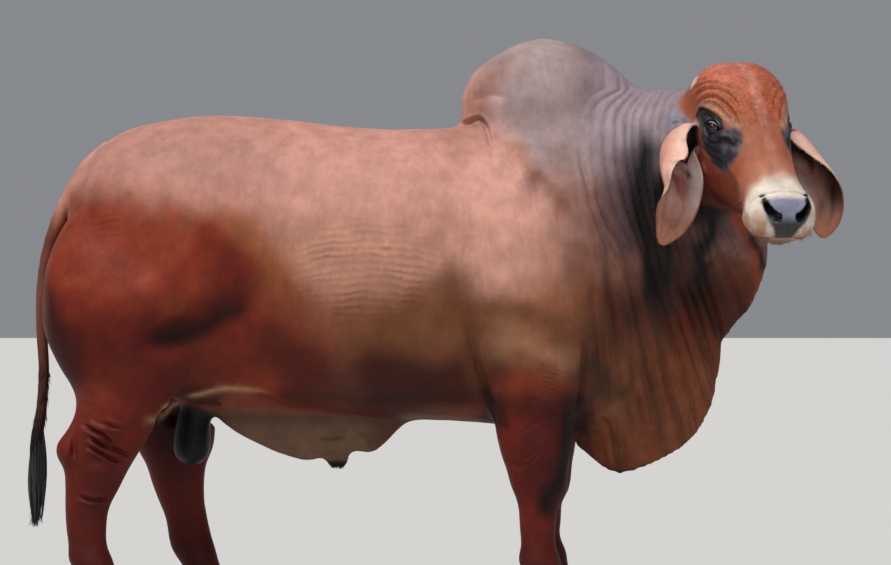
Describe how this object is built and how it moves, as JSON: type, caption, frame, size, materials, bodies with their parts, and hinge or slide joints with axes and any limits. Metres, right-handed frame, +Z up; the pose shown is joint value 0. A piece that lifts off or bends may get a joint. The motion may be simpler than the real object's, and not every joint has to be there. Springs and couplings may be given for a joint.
{
  "type": "brahman bull",
  "caption": "Life-size standing red humped bull with a hanging dewlap, long drooping ears and its head turned to one side.",
  "frame": {"origin": "middle of the animal's floor plan, on the ground it stands on", "axes": "+X along the back towards the hump and neck, +Y to the animal's left, +Z up"},
  "size_m": [2.4824, 1.0096, 1.7594],
  "materials": {
    "hide": "short red-brown summer coat over loose skin, satin",
    "dark_skin": "near-black bare skin, satin",
    "switch_hair": "coarse black tail hair",
    "hoof": "dark horn, matt",
    "eye": "wet and very dark brown"
  },
  "bodies": {
    "root": {"torso": "hide", "hump": "hide", "neck": "hide", "dewlap": "hide", "head": "hide", "ear_right": "hide", "ear_left": "hide", "eye_right": "eye", "eye_left": "eye", "sheath": "hide", "scrotum": "dark_skin", "foreleg_right": "hide", "foreleg_left": "hide", "hindleg_right": "hide", "hindleg_left": "hide", "foreclaw_right_inner": "hoof", "foreclaw_right_outer": "hoof", "foreclaw_left_inner": "hoof", "foreclaw_left_outer": "hoof", "hindclaw_right_inner": "hoof", "hindclaw_right_outer": "hoof", "hindclaw_left_inner": "hoof", "hindclaw_left_outer": "hoof", "tail": "hide", "tail_brush": "switch_hair"}
  },
  "joints": []
}
